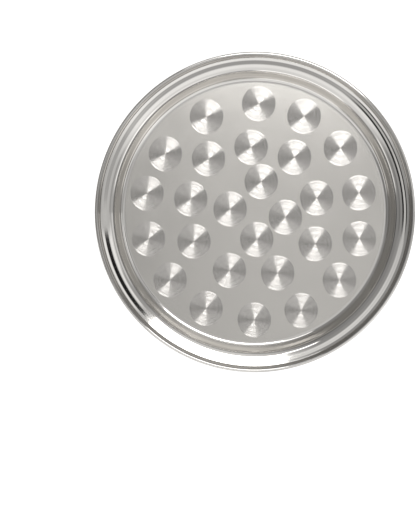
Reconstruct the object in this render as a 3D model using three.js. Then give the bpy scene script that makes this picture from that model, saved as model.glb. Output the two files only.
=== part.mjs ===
// Round serving tray: a pan pressed from one steel sheet, its edge rolled over a stiffening wire.
// Millimetres, +Z up. The origin is the middle of the base, on the surface that the tray stands on.
import * as THREE from 'three';

// Overall sizes
const RIM_DIAMETER = 247.65; // 9 3/4 in, across the rolled rim
const HEIGHT = 20.64; // 13/16 in, from the table to the top of the rim
const RIM_OVERHANG = 21.22; // from the edge of the flat base out to the rim
const RIM_RISE = 8.62; // from the corner of the wall and shoulder up to the top of the rim
const LEDGE_INSET = 6.15; // from the rim in to the outer edge of the ledge in the shoulder
const LEDGE_WIDTH = 2.55;
const SHEET = 0.5; // thickness of the steel

// Slopes of the pressed faces, in degrees from level
const WALL_SLOPE = 70;
const SHOULDER_SLOPE = 16;
const LEDGE_SLOPE = 10; // the flattest of the shoulder
const BRIM_SLOPE = 16;
const LIP_SLOPE = 80;

// Bend radii, at the middle of the sheet
const FOOT_BEND = 4; // base to wall: low in it, the base's edge is seen at 8 1/8 in across
const FLARE_BEND = 7.25; // wall to shoulder, or less where the shoulder is too narrow for it
const LEDGE_BEND = 22; // shoulder to ledge
const BRIM_BEND = 14; // ledge to brim
const LIP_BEND = 1.5; // brim to lip

// The rolled edge and the wire in it
const WIRE_DIAMETER = 1.5;
const WIRE_CLEARANCE = 0.3; // between the wire and the inside of the roll
const SEAM_GAP = 0.3; // between the cut edge of the roll and the back of the lip

// Facets
const FACETS_AROUND_TRAY = 72;
const FACETS_AROUND_WIRE = 10;
const DEGREES_PER_FACET = 20; // in a bend of the sheet

const radians = THREE.MathUtils.degToRad;
const degrees = THREE.MathUtils.radToDeg;
const halfSheet = SHEET / 2;

// Unit vector in the tray's section, at an angle in degrees from straight out
function direction(angle) {
  return new THREE.Vector2(Math.cos(radians(angle)), Math.sin(radians(angle)));
}

// Point where a line from one point, at its slope, meets a line through another
function meet(from, fromSlope, other, otherSlope) {
  const apart = other.clone().sub(from);
  const reach = apart.cross(direction(otherSlope)) / direction(fromSlope).cross(direction(otherSlope));
  return from.clone().addScaledVector(direction(fromSlope), reach);
}

// Distance from a corner to where a bend of this radius begins
function bendReach(radius, slopeBefore, slopeAfter) {
  return radius * Math.tan(radians(Math.abs(slopeAfter - slopeBefore)) / 2);
}

// Radius of a bend, limited to what begins within a distance of its corner
function fitBend(radius, slopeBefore, slopeAfter, room) {
  return Math.min(radius, room / bendReach(1, slopeBefore, slopeAfter));
}

// Bend that rounds the corner between two slopes of the middle of the sheet
function bendAt(corner, slopeBefore, slopeAfter, radius) {
  const quarter = 90 * Math.sign(slopeAfter - slopeBefore);
  const centre = corner
    .clone()
    .addScaledVector(direction(slopeBefore), -bendReach(radius, slopeBefore, slopeAfter))
    .addScaledVector(direction(slopeBefore + quarter), radius);
  return { centre, radius, start: slopeBefore - quarter, sweep: slopeAfter - slopeBefore };
}

// Points along a bend on one face of the sheet: side is 1 on the upper face and -1 underneath
function facePoints({ centre, radius, start, sweep }, side) {
  const faceRadius = radius - side * Math.sign(sweep) * halfSheet;
  const facets = Math.ceil(Math.abs(sweep) / DEGREES_PER_FACET);
  const points = [];
  for (let i = 0; i <= facets; i++) {
    const angle = start + (sweep * i) / facets;
    points.push(centre.clone().addScaledVector(direction(angle), faceRadius));
  }
  return points;
}

// The roll goes up from the lip, over the wire and back under it, and stops short of the lip
const rollRadius = WIRE_DIAMETER / 2 + WIRE_CLEARANCE + halfSheet;
const rollSize = rollRadius + halfSheet;
const rollCentre = new THREE.Vector2(RIM_DIAMETER / 2 - rollSize, HEIGHT - rollSize);
const rollOpening = degrees(Math.acos(1 - (SHEET + SEAM_GAP) / rollRadius));
const lipTop = rollCentre.clone().addScaledVector(direction(LIP_SLOPE + 90), rollRadius);

// Corners of the middle of the sheet, from the base out to the lip
const baseRadius = RIM_DIAMETER / 2 - RIM_OVERHANG;
const footCorner = new THREE.Vector2(baseRadius + bendReach(FOOT_BEND, 0, WALL_SLOPE), halfSheet);
const shoulderCorner = meet(footCorner, WALL_SLOPE, new THREE.Vector2(0, HEIGHT - RIM_RISE), 0);
const ledgeOuterRadius = RIM_DIAMETER / 2 - LEDGE_INSET;
const ledgeInnerRadius = ledgeOuterRadius - LEDGE_WIDTH;
const ledgeCorner = meet(shoulderCorner, SHOULDER_SLOPE, new THREE.Vector2(ledgeInnerRadius, 0), 90);
const brimCorner = meet(ledgeCorner, LEDGE_SLOPE, new THREE.Vector2(ledgeOuterRadius, 0), 90);
const lipCorner = meet(brimCorner, BRIM_SLOPE, lipTop, LIP_SLOPE);

const shoulderWidth = ledgeCorner.distanceTo(shoulderCorner);
const flareRoom = shoulderWidth - bendReach(LEDGE_BEND, SHOULDER_SLOPE, LEDGE_SLOPE);
const flareBend = fitBend(FLARE_BEND, WALL_SLOPE, SHOULDER_SLOPE, flareRoom);

const bends = [
  bendAt(footCorner, 0, WALL_SLOPE, FOOT_BEND),
  bendAt(shoulderCorner, WALL_SLOPE, SHOULDER_SLOPE, flareBend),
  bendAt(ledgeCorner, SHOULDER_SLOPE, LEDGE_SLOPE, LEDGE_BEND),
  bendAt(brimCorner, LEDGE_SLOPE, BRIM_SLOPE, BRIM_BEND),
  bendAt(lipCorner, BRIM_SLOPE, LIP_SLOPE, LIP_BEND),
  { centre: rollCentre, radius: rollRadius, start: LIP_SLOPE + 90, sweep: rollOpening - 360 },
];

// Pan: the section of the sheet, out along the underside and back over the upper face, turned once
function makePan() {
  const underside = bends.flatMap((bend) => facePoints(bend, -1));
  const upperFace = bends.flatMap((bend) => facePoints(bend, 1)).reverse();
  const section = [new THREE.Vector2(0, 0), ...underside, ...upperFace, new THREE.Vector2(0, SHEET)];
  const polishedSteel = new THREE.MeshStandardMaterial({ color: 0xc9c6c0, metalness: 1, roughness: 0.22 });
  const pan = new THREE.Mesh(new THREE.LatheGeometry(section, FACETS_AROUND_TRAY), polishedSteel);
  pan.name = 'tray_pan';
  pan.rotation.x = Math.PI / 2;
  return pan;
}

// Wire: a closed ring in the middle of the roll
function makeWire() {
  const ring = new THREE.TorusGeometry(
    rollCentre.x,
    WIRE_DIAMETER / 2,
    FACETS_AROUND_WIRE,
    FACETS_AROUND_TRAY,
  );
  const drawnSteel = new THREE.MeshStandardMaterial({ color: 0x8f8d89, metalness: 1, roughness: 0.45 });
  const wire = new THREE.Mesh(ring, drawnSteel);
  wire.name = 'rim_wire';
  wire.position.z = rollCentre.y;
  return wire;
}

const tray = new THREE.Group();
tray.add(makePan(), makeWire());

export default tray;
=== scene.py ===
import math
import bmesh
import bpy
from mathutils import Matrix, Vector


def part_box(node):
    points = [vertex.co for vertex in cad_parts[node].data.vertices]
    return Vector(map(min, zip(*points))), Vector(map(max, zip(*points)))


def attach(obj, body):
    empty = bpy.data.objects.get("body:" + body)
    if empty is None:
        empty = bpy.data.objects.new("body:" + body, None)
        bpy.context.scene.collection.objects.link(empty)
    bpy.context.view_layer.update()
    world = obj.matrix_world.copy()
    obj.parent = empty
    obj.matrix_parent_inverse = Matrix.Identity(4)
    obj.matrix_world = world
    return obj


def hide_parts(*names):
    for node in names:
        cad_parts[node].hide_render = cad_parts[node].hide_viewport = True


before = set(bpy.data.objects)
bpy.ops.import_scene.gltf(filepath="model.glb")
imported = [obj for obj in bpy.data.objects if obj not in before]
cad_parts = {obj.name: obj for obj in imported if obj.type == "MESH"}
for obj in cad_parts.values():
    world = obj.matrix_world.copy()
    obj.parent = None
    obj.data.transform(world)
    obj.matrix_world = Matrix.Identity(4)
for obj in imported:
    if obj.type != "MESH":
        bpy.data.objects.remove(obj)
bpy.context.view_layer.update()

# Pressed pan
# One round stainless sheet, drawn into a flat base, a leaning wall, a shoulder with a ledge, and a lip.
# Its edge is rolled over a wire. Each face is drawn as a section of arcs and turned once about the axis.
SHEET = 0.0005  # thickness, in metres as all sizes are
RIM_OVERHANG = 0.02122  # from the edge of the flat base out to the rim
RIM_RISE = 0.00862  # from the corner of the wall and shoulder up to the top of the rim
LEDGE_INSET = 0.00615  # from the rim in to the outer edge of the ledge
LEDGE_WIDTH = 0.00255
WALL_SLOPE, SHOULDER_SLOPE, LEDGE_SLOPE, BRIM_SLOPE, LIP_SLOPE = 70, 16, 10, 16, 80  # degrees from level
FOOT_BEND, FLARE_BEND, LEDGE_BEND, BRIM_BEND, LIP_BEND = 0.004, 0.00725, 0.022, 0.014, 0.0015
WIRE_DIAMETER = 0.0015
WIRE_CLEARANCE = 0.0003  # between the wire and the inside of the roll
SEAM_GAP = 0.0003  # between the cut edge of the roll and the back of the lip
FLAT_MARGIN = 0.0006  # polished ring of the base, just inside the foot bend
DEGREES_PER_FACET = 4
FEWEST_FACETS = 8  # in one bend
TURN_STEPS = 240
MERGE_DISTANCE = 1e-6
rim_radius, tray_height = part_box("tray_pan")[1].xz
base_radius = rim_radius - RIM_OVERHANG


def direction(angle):
    """Unit vector in the section, which lies in the XZ plane, at degrees up from straight out."""
    return Vector((math.cos(math.radians(angle)), 0, math.sin(math.radians(angle))))


def meet(start, slope, other, other_slope):
    """Point where the line from start meets the line through other."""
    across = direction(other_slope + 90)
    return start + direction(slope) * ((other - start).dot(across) / direction(slope).dot(across))


def bend_reach(radius, before, after):
    """Distance from a corner to where its bend begins."""
    return radius * math.tan(math.radians(abs(after - before)) / 2)


def bend_at(shaded_corner, before, after, radius):
    """Centre, radius, start angle and sweep of the bend that rounds a corner of the sheet."""
    quarter = math.copysign(90, after - before)
    start = shaded_corner - direction(before) * bend_reach(radius, before, after)
    return start + direction(before + quarter) * radius, radius, before - quarter, after - before


roll_radius = WIRE_DIAMETER / 2 + WIRE_CLEARANCE + SHEET / 2
roll_size = roll_radius + SHEET / 2
roll_centre = Vector((rim_radius - roll_size, 0, tray_height - roll_size))
roll_opening = math.degrees(math.acos(1 - (SHEET + SEAM_GAP) / roll_radius))
lip_top = roll_centre + direction(LIP_SLOPE + 90) * roll_radius
foot_corner = Vector((base_radius + bend_reach(FOOT_BEND, 0, WALL_SLOPE), 0, SHEET / 2))
shoulder_corner = meet(foot_corner, WALL_SLOPE, Vector((0, 0, tray_height - RIM_RISE)), 0)
ledge_outer = Vector((rim_radius - LEDGE_INSET, 0, 0))
ledge_inner = ledge_outer - Vector((LEDGE_WIDTH, 0, 0))
ledge_corner = meet(shoulder_corner, SHOULDER_SLOPE, ledge_inner, 90)
brim_corner = meet(ledge_corner, LEDGE_SLOPE, ledge_outer, 90)
lip_corner = meet(brim_corner, BRIM_SLOPE, lip_top, LIP_SLOPE)
bends = [
    bend_at(foot_corner, 0, WALL_SLOPE, FOOT_BEND),
    bend_at(shoulder_corner, WALL_SLOPE, SHOULDER_SLOPE, FLARE_BEND),
    bend_at(ledge_corner, SHOULDER_SLOPE, LEDGE_SLOPE, LEDGE_BEND),
    bend_at(brim_corner, LEDGE_SLOPE, BRIM_SLOPE, BRIM_BEND),
    bend_at(lip_corner, BRIM_SLOPE, LIP_SLOPE, LIP_BEND),
    (roll_centre, roll_radius, LIP_SLOPE + 90, roll_opening - 360),
]


def turn_once(mesh, section):
    """Turns a section once about the tray's axis and closes the seam."""
    full_turn = {"cent": (0, 0, 0), "axis": (0, 0, 1), "angle": math.tau}
    bmesh.ops.spin(mesh, geom=section, steps=TURN_STEPS, use_merge=True, **full_turn)


def turn_face(mesh, side, finish):
    """Draws the section of the sheet's upper (1) or lower (-1) face and turns it about the axis."""
    turned_before = set(mesh.faces)
    tip = mesh.verts.new((base_radius - FLAT_MARGIN, 0, SHEET / 2 * (1 + side)))
    for centre, radius, start, sweep in bends:
        face_radius = radius - side * math.copysign(SHEET / 2, sweep)
        tip = bmesh.ops.extrude_vert_indiv(mesh, verts=[tip])["verts"][0]
        tip.co = centre + direction(start) * face_radius
        arc = bmesh.ops.spin(
            mesh, geom=[tip], cent=centre, axis=(0, -1, 0), angle=math.radians(sweep),
            steps=max(FEWEST_FACETS, math.ceil(abs(sweep) / DEGREES_PER_FACET)),
        )
        tip = next(item for item in arc["geom_last"] if isinstance(item, bmesh.types.BMVert))
    turn_once(mesh, [item for item in [*mesh.verts, *mesh.edges] if not item.link_faces])
    for face in set(mesh.faces) - turned_before:
        face.material_index = finish


def open_edges(mesh, wanted):
    """Edges of only one face whose middle is in a wanted place."""
    rims = [edge for edge in mesh.edges if edge.is_boundary]
    return [edge for edge in rims if wanted((edge.verts[0].co + edge.verts[1].co) / 2)]


POLISHED, SATIN, SWIRL, UNDERSIDE = range(4)
pan_mesh = bmesh.new()
turn_face(pan_mesh, -1, UNDERSIDE)
turn_face(pan_mesh, 1, POLISHED)
bmesh.ops.remove_doubles(pan_mesh, verts=pan_mesh.verts[:], dist=MERGE_DISTANCE)
cut_edge = open_edges(pan_mesh, lambda middle: middle.xy.length > base_radius)
bmesh.ops.bridge_loops(pan_mesh, edges=cut_edge)
bottom_rim = open_edges(pan_mesh, lambda middle: middle.z < SHEET / 2)
bmesh.ops.edgeloop_fill(pan_mesh, edges=bottom_rim, mat_nr=UNDERSIDE)

# Swirl marks
# Round spots burnished into the base's steel one at a time with a turning abrasive tip, in three rings.
# They were set out by eye, so the rings are uneven. Centres are in millimetres from the tray's middle.
SWIRL_WIDTH, SWIRL_LENGTH = 0.0264, 0.0276
SWIRL_DEPTH = 0.00002
SWIRL_EDGE = 0.00025  # width of the slope round a mark
SWIRL_SIDES = 64
MILLIMETRE = 0.001
inner_ring = [(-19, 3), (5.5, 24.5), (24.5, -3.5), (2, -21)]
middle_ring = [
    (-50, 11), (-36, 42.5), (-2.5, 51.5), (31.5, 43.5), (49, 11.5),
    (48, -24.5), (18.5, -47.5), (-19.5, -45.5), (-47.5, -22.5),
]
outer_ring = [
    (-84.5, 15.5), (-70, 46.5), (-37.5, 75.5), (3.5, 85.5), (39, 75.5), (67.5, 50.5), (82, 15.5),
    (82.5, -20.5), (67, -53), (37, -77), (0, -84.5), (-38, -75.5), (-66.5, -53), (-83.5, -20.5),
]


def mark_edges(mesh, spot, inset, filled):
    """Oval of edges on the base, drawn in from the mark's own outline."""
    oval = Matrix.Diagonal((SWIRL_WIDTH / 2 - inset, SWIRL_LENGTH / 2 - inset, 1, 1))
    outline = bmesh.ops.create_circle(
        mesh, segments=SWIRL_SIDES, radius=1, cap_ends=filled, matrix=Matrix.Translation(spot) @ oval,
    )
    return list({edge for vert in outline["verts"] for edge in vert.link_edges})


swirl_map = pan_mesh.loops.layers.uv.new("swirl")
satin_edges = open_edges(pan_mesh, lambda middle: True)
for right, back in inner_ring + middle_ring + outer_ring:
    centre = Vector((right * MILLIMETRE, back * MILLIMETRE, SHEET))
    outer = mark_edges(pan_mesh, centre, 0, False)
    inner = mark_edges(pan_mesh, centre - Vector((0, 0, SWIRL_DEPTH)), SWIRL_EDGE, True)
    bmesh.ops.bridge_loops(pan_mesh, edges=outer + inner)
    for face in {face for edge in inner for face in edge.link_faces}:
        face.material_index = SWIRL
        for loop in face.loops:
            loop[swirl_map].uv = (loop.vert.co - centre).xy
    satin_edges += outer
filled = bmesh.ops.triangle_fill(pan_mesh, use_beauty=True, normal=(0, 0, 1), edges=satin_edges)
for item in filled["geom"]:
    if isinstance(item, bmesh.types.BMFace):
        item.material_index = SATIN
bmesh.ops.recalc_face_normals(pan_mesh, faces=pan_mesh.faces[:])
SHARP_ANGLE = math.radians(40)
for face in pan_mesh.faces:
    face.smooth = True
for edge in pan_mesh.edges:
    finishes = {face.material_index for face in edge.link_faces}
    edge.smooth = edge.calc_face_angle(0) < SHARP_ANGLE and SWIRL not in finishes


def make_piece(mesh, name):
    """Object at the origin that holds a finished mesh."""
    data = bpy.data.meshes.new(name)
    mesh.to_mesh(data)
    mesh.free()
    piece = bpy.data.objects.new(name, data)
    bpy.context.scene.collection.objects.link(piece)
    return piece


def add_node(tree, kind, inputs, **options):
    """Node with its options set, and each input linked to a socket or set to a value."""
    node = tree.nodes.new(kind)
    for option, value in options.items():
        setattr(node, option, value)
    for socket, value in inputs.items():
        if isinstance(value, bpy.types.NodeSocket):
            tree.links.new(value, node.inputs[socket])
        else:
            node.inputs[socket].default_value = value
    return node


def reckon(tree, operation, *values):
    """Result of one sum on values."""
    return add_node(tree, "ShaderNodeMath", dict(enumerate(values)), operation=operation).outputs[0]


def reckon_vector(tree, operation, inputs):
    """Outputs of one sum on vectors."""
    return add_node(tree, "ShaderNodeVectorMath", inputs, operation=operation).outputs


def blend(tree, value, low, high, at_low, at_high, kind="SMOOTHSTEP"):
    """Level that changes from at_low to at_high as a value goes from low to high."""
    span = {"Value": value, "From Min": low, "From Max": high, "To Min": at_low, "To Max": at_high}
    return add_node(tree, "ShaderNodeMapRange", span, interpolation_type=kind).outputs["Result"]


def within(tree, value, middle, reach, edge):
    """Mask of 1 within reach of a middle value, which fades to 0 over the edge beyond it."""
    off = reckon(tree, "ABSOLUTE", reckon(tree, "SUBTRACT", value, middle))
    return blend(tree, off, reach, reach + edge, 1, 0)


def flatten(tree, place):
    """Level part of a place, and its distance from the upright axis."""
    flat = reckon_vector(tree, "MULTIPLY", {0: place, 1: (1, 1, 0)})["Vector"]
    return flat, reckon_vector(tree, "LENGTH", {0: flat})["Value"]


def make_group(name, inputs, output):
    """Empty shader node group with named inputs and one value that it puts out."""
    group = bpy.data.node_groups.new(name, "ShaderNodeTree")
    for socket, kind in inputs.items():
        group.interface.new_socket(socket, in_out="INPUT", socket_type=kind)
    group.interface.new_socket(output, in_out="OUTPUT", socket_type="NodeSocketFloat")
    return group, group.nodes.new("NodeGroupInput").outputs, group.nodes.new("NodeGroupOutput").inputs


# Fine lines that run round an axis, as a die, a buff or a turning abrasive tip leaves them
turned_lines, line_settings, line_result = make_group(
    "turned_lines",
    {"Position": "NodeSocketVector", "Lines per metre": "NodeSocketFloat", "Streaks": "NodeSocketFloat"},
    "Lines",
)
flat_place, from_axis = flatten(turned_lines, line_settings["Position"])
around = reckon_vector(turned_lines, "NORMALIZE", {0: flat_place})["Vector"]
streaks = reckon_vector(turned_lines, "SCALE", {0: around, "Scale": line_settings["Streaks"]})["Vector"]
upwards = add_node(turned_lines, "ShaderNodeSeparateXYZ", {0: line_settings["Position"]}).outputs["Z"]
along_section = reckon(turned_lines, "ADD", from_axis, upwards)
line_count = reckon(turned_lines, "MULTIPLY", along_section, line_settings["Lines per metre"])
line_noise = {"Vector": streaks, "W": line_count, "Scale": 1, "Detail": 2}
lines = add_node(turned_lines, "ShaderNodeTexNoise", line_noise, noise_dimensions="4D")
turned_lines.links.new(lines.outputs["Fac"], line_result["Lines"])

# Soft patches, as rolling, pressing and handling leave in a sheet
sheet_patches, patch_settings, patch_result = make_group(
    "sheet_patches", {"Position": "NodeSocketVector", "Patches per metre": "NodeSocketFloat"}, "Patches",
)
patch_scale = patch_settings["Patches per metre"]
patch_noise = {"Vector": patch_settings["Position"], "Scale": patch_scale, "Detail": 3}
patches = add_node(sheet_patches, "ShaderNodeTexNoise", patch_noise)
sheet_patches.links.new(patches.outputs["Fac"], patch_result["Patches"])

PATCHES_PER_METRE = 30
GRAIN_SPREAD = 0.4  # of the noise, to each side of its middle, between the darkest and the lightest grain
GRAIN_SHADE = 0.94  # tone of the darkest grain, as a share of the steel's own
POLISH_SPREAD = 0.15  # change of the roughness to each side, as a share of it


def steel(name, tone, roughness, lines, uv_map=""):
    """Bare steel whose grain changes its tone and polish, with lines as (per metre, streaks, depth)."""
    material = bpy.data.materials.new(name)
    material.use_nodes = True
    tree = material.node_tree
    shader = tree.nodes["Principled BSDF"]
    shader.inputs["Metallic"].default_value = 1
    if uv_map:
        place = add_node(tree, "ShaderNodeUVMap", {}, uv_map=uv_map).outputs["UV"]
    else:
        place = add_node(tree, "ShaderNodeTexCoord", {}).outputs["Object"]
    patch_inputs = {"Position": place, "Patches per metre": PATCHES_PER_METRE}
    mottle = add_node(tree, "ShaderNodeGroup", patch_inputs, node_tree=sheet_patches).outputs["Patches"]
    relief = 0
    for per_metre, streaks, depth in lines:
        line_inputs = {"Position": place, "Lines per metre": per_metre, "Streaks": streaks}
        marks = add_node(tree, "ShaderNodeGroup", line_inputs, node_tree=turned_lines).outputs["Lines"]
        mottle = reckon(tree, "ADD", mottle, marks)
        relief = reckon(tree, "MULTIPLY_ADD", marks, depth, relief)
    middle = (1 + len(lines)) / 2
    grain = blend(tree, mottle, middle - GRAIN_SPREAD, middle + GRAIN_SPREAD, 0, 1, "LINEAR")
    smoothest, roughest = roughness * (1 - POLISH_SPREAD), roughness * (1 + POLISH_SPREAD)
    tree.links.new(blend(tree, grain, 0, 1, smoothest, roughest, "LINEAR"), shader.inputs["Roughness"])
    darkest = [GRAIN_SHADE * level for level in tone]
    shades = {0: grain, 6: (*darkest, 1), 7: (*tone, 1)}
    shade = add_node(tree, "ShaderNodeMix", shades, data_type="RGBA").outputs[2]
    tree.links.new(shade, shader.inputs["Base Color"])
    bump = add_node(tree, "ShaderNodeBump", {"Height": relief, "Distance": 1})
    tree.links.new(bump.outputs["Normal"], shader.inputs["Normal"])
    return material


polished = steel("polished_steel", (0.76, 0.74, 0.71), 0.06, [(2500, 2.5, 5e-7), (500, 1.2, 8e-6)])
satin = steel("satin_steel", (0.72, 0.697, 0.657), 0.2, [(2500, 2.5, 1e-7)])
swirl = steel("swirl_steel", (0.64, 0.619, 0.59), 0.25, [(5000, 0.8, 0)], "swirl")
underside = steel("underside_steel", (0.7, 0.685, 0.66), 0.36, [(2500, 2.5, 1e-6)])

# Painted shade: a ring in the corner under the bead is darkened in the polished steel's colour, where shade
# falls
CORNER_INSET = 0.0028  # from the rim
CORNER_REACH, CORNER_FADE = 0.00066, 0.00077
CORNER_SHADE_TONE = (0.1, 0.095, 0.09, 1)
CORNER_SHADE_STRENGTH = 0.4
tree = polished.node_tree
shader = tree.nodes["Principled BSDF"]
from_middle = flatten(tree, tree.nodes["Texture Coordinate"].outputs["Object"])[1]
shaded_corner = within(tree, from_middle, rim_radius - CORNER_INSET, CORNER_REACH, CORNER_FADE)
corner_shading = reckon(tree, "MULTIPLY", shaded_corner, CORNER_SHADE_STRENGTH)
unshaded_steel = shader.inputs["Base Color"].links[0].from_socket
# Mixes the painted shade tone into the polished steel's own colour
shades = {0: corner_shading, 6: unshaded_steel, 7: CORNER_SHADE_TONE}
shade = add_node(tree, "ShaderNodeMix", shades, data_type="RGBA").outputs[2]
tree.links.new(shade, shader.inputs["Base Color"])

# Each groove of a swirl mark leans its steel towards or away from the mark's middle, in place of a bump
GROOVES_PER_METRE = 9000
GROOVE_STREAKS = 0.4
GROOVE_SPREAD = 0.2  # of the noise, to each side of its middle, between the two steepest leans
SWIRL_LEAN = 0.3
tree = swirl.node_tree
shader = tree.nodes["Principled BSDF"]
place = tree.nodes["UV Map"].outputs["UV"]
groove_inputs = {"Position": place, "Lines per metre": GROOVES_PER_METRE, "Streaks": GROOVE_STREAKS}
grooves = add_node(tree, "ShaderNodeGroup", groove_inputs, node_tree=turned_lines).outputs["Lines"]
lean = blend(tree, grooves, 0.5 - GROOVE_SPREAD, 0.5 + GROOVE_SPREAD, -SWIRL_LEAN, SWIRL_LEAN, "LINEAR")
outwards = reckon_vector(tree, "NORMALIZE", {0: place})["Vector"]
leaning = reckon_vector(tree, "MULTIPLY_ADD", {0: outwards, 1: lean, 2: (0, 0, 1)})["Vector"]
to_world = {"vector_type": "NORMAL", "convert_from": "OBJECT", "convert_to": "WORLD"}
facing = add_node(tree, "ShaderNodeVectorTransform", {0: leaning}, **to_world).outputs[0]
tree.links.new(facing, shader.inputs["Normal"])
tree.links.new(place, shader.inputs["Tangent"])
shader.inputs["Anisotropic"].default_value = 1

pan = make_piece(pan_mesh, "pressed_pan")
for material in (polished, satin, swirl, underside):
    pan.data.materials.append(material)
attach(pan, "root")
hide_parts("tray_pan")

# Rim wire
# A closed ring of drawn steel wire that stiffens the tray's edge.
# It lies loose in the roll that the sheet makes round it.
WIRE_SIDES = 32
wire_mesh = bmesh.new()
upright = Matrix.Translation(roll_centre) @ Matrix.Rotation(math.pi / 2, 4, "X")
bmesh.ops.create_circle(wire_mesh, segments=WIRE_SIDES, radius=WIRE_DIAMETER / 2, matrix=upright)
turn_once(wire_mesh, wire_mesh.verts[:] + wire_mesh.edges[:])
bmesh.ops.recalc_face_normals(wire_mesh, faces=wire_mesh.faces[:])
for face in wire_mesh.faces:
    face.smooth = True
wire = make_piece(wire_mesh, "rim_wire_ring")
wire.data.materials.append(steel("wire_steel", (0.56, 0.545, 0.525), 0.36, [(3000, 2.5, 1e-6)]))
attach(wire, "root")
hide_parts("rim_wire")

# Floor
# A plain white sheet just under the tray, which keeps the tray's soft shadow and shows in its steel.
# It can be seen through from below, so that the underside shows.
FLOOR_SIZE = 6
FLOOR_DROP = 0.0002
FLOOR_TONE = (0.7, 0.7, 0.7, 1)
FLOOR_ROUGHNESS = 0.9
FLOOR_SPECULAR = 0.1
FLOOR_GLOW, FLOOR_SHEEN = 0.8, 0.3  # to the camera, and in polished steel
floor_mesh = bmesh.new()
lowered = Matrix.Translation((0, 0, -FLOOR_DROP))
bmesh.ops.create_grid(floor_mesh, x_segments=1, y_segments=1, size=FLOOR_SIZE, matrix=lowered)
floor = make_piece(floor_mesh, "floor")
floor_white = bpy.data.materials.new("floor_white")
floor_white.use_nodes = True
tree = floor_white.node_tree
shader = tree.nodes["Principled BSDF"]
shader.inputs["Base Color"].default_value = FLOOR_TONE
shader.inputs["Roughness"].default_value = FLOOR_ROUGHNESS
shader.inputs["Specular IOR Level"].default_value = FLOOR_SPECULAR
shader.inputs["Emission Color"].default_value = (1, 1, 1, 1)
path = add_node(tree, "ShaderNodeLightPath", {}).outputs
seen = reckon(tree, "MAXIMUM", path["Is Camera Ray"], path["Is Transmission Ray"])
mirrored = reckon(tree, "MULTIPLY", path["Is Glossy Ray"], FLOOR_SHEEN)
glow = reckon(tree, "MULTIPLY_ADD", seen, FLOOR_GLOW, mirrored)
tree.links.new(glow, shader.inputs["Emission Strength"])
from_below = add_node(tree, "ShaderNodeNewGeometry", {}).outputs["Backfacing"]
clear = add_node(tree, "ShaderNodeBsdfTransparent", {}).outputs[0]
sides = add_node(tree, "ShaderNodeMixShader", {0: from_below, 1: shader.outputs[0], 2: clear}).outputs[0]
tree.links.new(sides, tree.nodes["Material Output"].inputs["Surface"])
floor.data.materials.append(floor_white)

# Studio light
# A tall softbox behind the tray, in a room that is bright in front, grey overhead and dark at the sides.
# Light and dark cards stand and hang round the tray, and its polished wall and rim mirror them as lines.
world = bpy.data.worlds.new("studio")
bpy.context.scene.world = world
world.use_nodes = True
room = world.node_tree
look = add_node(room, "ShaderNodeTexCoord", {}).outputs["Generated"]
axes = add_node(room, "ShaderNodeSeparateXYZ", {0: look}).outputs
x, y, z = axes["X"], axes["Y"], axes["Z"]
turns = reckon(room, "DIVIDE", reckon(room, "ARCTAN2", y, x), math.tau)
bearing = reckon(room, "FRACT", reckon(room, "ADD", turns, 1.0))

# Bearing in degrees from the right towards the back, and the wall's level there
wall_levels = [
    (0, 0.5), (20, 0.45), (40, 0.4), (60, 0.8), (85, 0.85), (100, 0.6), (115, 0.28), (180, 0.28),
    (202, 0.36), (218, 0.85), (300, 0.9), (322, 0.95), (340, 0.52), (360, 0.5),
]
walls = add_node(room, "ShaderNodeValToRGB", {"Fac": bearing})
while len(walls.color_ramp.elements) < len(wall_levels):
    walls.color_ramp.elements.new(1)
for stop, (degrees, level) in zip(walls.color_ramp.elements, wall_levels):
    stop.position = degrees / 360
    stop.color = (level, level, level, 1)

# Heights are sines of the angle up from level
FOOT_LOW, FOOT_HIGH, FOOT_SHADE = 0.05, 0.45, 0.35
TOP_LOW, TOP_HIGH, TOP_GLOW = 0.7, 0.9, 1.2
foot_of_walls = blend(room, z, FOOT_LOW, FOOT_HIGH, FOOT_SHADE, 1)
top_of_walls = blend(room, z, TOP_LOW, TOP_HIGH, 1, TOP_GLOW)
shading = reckon(room, "MULTIPLY", foot_of_walls, top_of_walls)
shaded_walls = reckon(room, "MULTIPLY", walls.outputs["Color"], shading)

# The ceiling is lighter towards the back and the back left, and darker just left of the camera
CEILING_LOW, CEILING_HIGH = 0.915, 0.955
FRONT_LEVEL, BACK_LEVEL = 0.42, 0.65
FRONT_Y, BACK_Y = -0.24, -0.13
SHADE_X, SHADE_X_FADE = -0.13, 0.1
SHADE_Y, SHADE_Y_REACH, SHADE_Y_FADE = -0.03, 0.07, 0.08
SIDE_SHADE = 0.45
BACK_LEFT_X, BACK_LEFT_Y = -0.42, 0.91
BACK_LEFT_NEAR, BACK_LEFT_FAR, BACK_LEFT_GLOW = 0.15, 0.3, 1.35
shade_across = within(room, x, SHADE_X, 0, SHADE_X_FADE)
shade_along = within(room, y, SHADE_Y, SHADE_Y_REACH, SHADE_Y_FADE)
side_shade = blend(room, reckon(room, "MULTIPLY", shade_across, shade_along), 0, 1, 1, SIDE_SHADE, "LINEAR")
back_left = reckon(room, "MULTIPLY_ADD", x, BACK_LEFT_X, reckon(room, "MULTIPLY", y, BACK_LEFT_Y))
back_left_glow = blend(room, back_left, BACK_LEFT_NEAR, BACK_LEFT_FAR, 1, BACK_LEFT_GLOW)
ceiling = blend(room, y, FRONT_Y, BACK_Y, FRONT_LEVEL, BACK_LEVEL)
ceiling = reckon(room, "MULTIPLY", ceiling, side_shade)
ceiling = reckon(room, "MULTIPLY", ceiling, back_left_glow)
overhead = blend(room, z, CEILING_LOW, CEILING_HIGH, 0, 1)
lit = add_node(room, "ShaderNodeMix", {0: overhead, 2: shaded_walls, 3: ceiling}).outputs[0]

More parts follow.
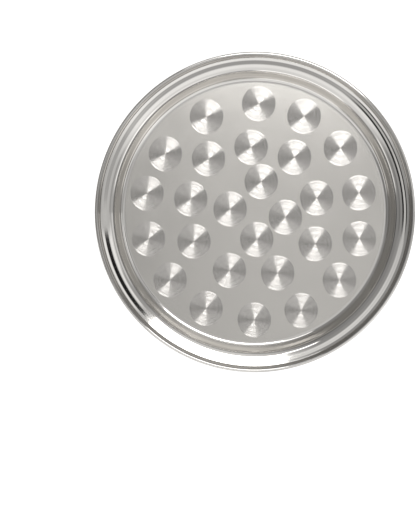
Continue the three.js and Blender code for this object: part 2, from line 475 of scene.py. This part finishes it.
# Cards: bearing, half width and soft edge in degrees, then height, half height and soft edge as sines
# A change above 0 is added to the room's level, and one below 0 takes that share of the level away
cards = [
    (24, 13, 6, 0.9, 0.02, 0.015, 0.5),
    (250, 16, 6, 0.22, 0.08, 0.05, 0.9),
    (332, 14, 8, 0.4, 0.09, 0.06, 0.6),
    (60, 12, 5, 0.974, 0.006, 0.004, 2),
    (200, 8, 6, 0.38, 0.09, 0.05, 0.6),
    (14, 6, 6, 0.8, 0.06, 0.04, 0.4),
    (109, 6, 2, 0.75, 0.05, 0.03, 2.2),
    (10, 16, 8, 0.42, 0.14, 0.06, 0.3),
    (300, 10, 10, 0.34, 0.12, 0.06, 0.25),
    (180, 20, 10, 0.12, 0.08, 0.04, -0.4),
    (25.5, 17, 2, 0.968, 0.021, 0.005, -0.98),
    (200, 22, 12, 0.943, 0.017, 0.005, -0.98),
    (350, 12, 8, 0.8, 0.06, 0.04, -0.3),
    (190, 14, 8, 0.8, 0.06, 0.04, -0.35),
    (342, 10, 8, 0.965, 0.02, 0.01, -0.3),
]
for turn, half_width, side_fade, height, half_height, end_fade, change in cards:
    card_across = within(room, bearing, turn / 360, half_width / 360, side_fade / 360)
    card_upwards = within(room, z, height, half_height, end_fade)
    card = reckon(room, "MULTIPLY", card_across, card_upwards)
    if change > 0:
        lit = reckon(room, "MULTIPLY_ADD", card, change, lit)
    else:
        lit = reckon(room, "MULTIPLY", lit, reckon(room, "MULTIPLY_ADD", card, change, 1.0))
camera_ray = add_node(room, "ShaderNodeLightPath", {}).outputs["Is Camera Ray"]
background = room.nodes["Background"]
background.inputs["Color"].default_value = (1, 1, 1, 1)
room.links.new(reckon(room, "MAXIMUM", lit, camera_ray), background.inputs["Strength"])

SOFTBOX_RADIANCE = 3.7
BOX_LEFT, BOX_RIGHT = -0.13, 0.57
BOX_BOTTOM, BOX_TOP = 0.9, 3.1
BOX_BACK = 0.61
softbox_data = bpy.data.lights.new("softbox", "AREA")
softbox_data.shape = "RECTANGLE"
softbox_data.size = BOX_RIGHT - BOX_LEFT
softbox_data.size_y = BOX_TOP - BOX_BOTTOM
softbox_data.energy = SOFTBOX_RADIANCE * math.pi * softbox_data.size * softbox_data.size_y
softbox = bpy.data.objects.new("softbox", softbox_data)
bpy.context.scene.collection.objects.link(softbox)
softbox.location = ((BOX_LEFT + BOX_RIGHT) / 2, BOX_BACK, (BOX_BOTTOM + BOX_TOP) / 2)
softbox.rotation_euler = (-math.pi / 2, 0, 0)

# Camera
# It looks down from straight above the tray, which lies off the middle of the picture.
# The tilt that this takes moves the middle of the rim's outline a little further out than the tray's own.
FRAME_WIDTH, FRAME_HEIGHT = 416, 520
TRAY_PIXEL = Vector((255.0, 212.0))
RIM_PIXELS = 160.3
CAMERA_HEIGHT = 1
SENSOR = 36
rim_slant = rim_radius / (CAMERA_HEIGHT - tray_height)
focal_pixels = RIM_PIXELS / rim_slant
camera_data = bpy.data.cameras.new("camera")
camera_data.sensor_width = SENSOR
camera_data.lens = focal_pixels * SENSOR / FRAME_HEIGHT
camera = bpy.data.objects.new("camera", camera_data)
bpy.context.scene.collection.objects.link(camera)
bpy.context.scene.camera = camera
off_middle = Vector((TRAY_PIXEL.x - FRAME_WIDTH / 2, FRAME_HEIGHT / 2 - TRAY_PIXEL.y))
tilt = off_middle / (1 + rim_slant ** 2)
aim = Vector((-tilt.x, -tilt.y, -focal_pixels)).normalized()
level_right = (Vector((1, 0, 0)) - aim * aim.x).normalized()
camera.location = (0, 0, CAMERA_HEIGHT)
camera.rotation_euler = Matrix((level_right, level_right.cross(aim), -aim)).transposed().to_euler()
bpy.context.scene.view_settings.view_transform = "Standard"
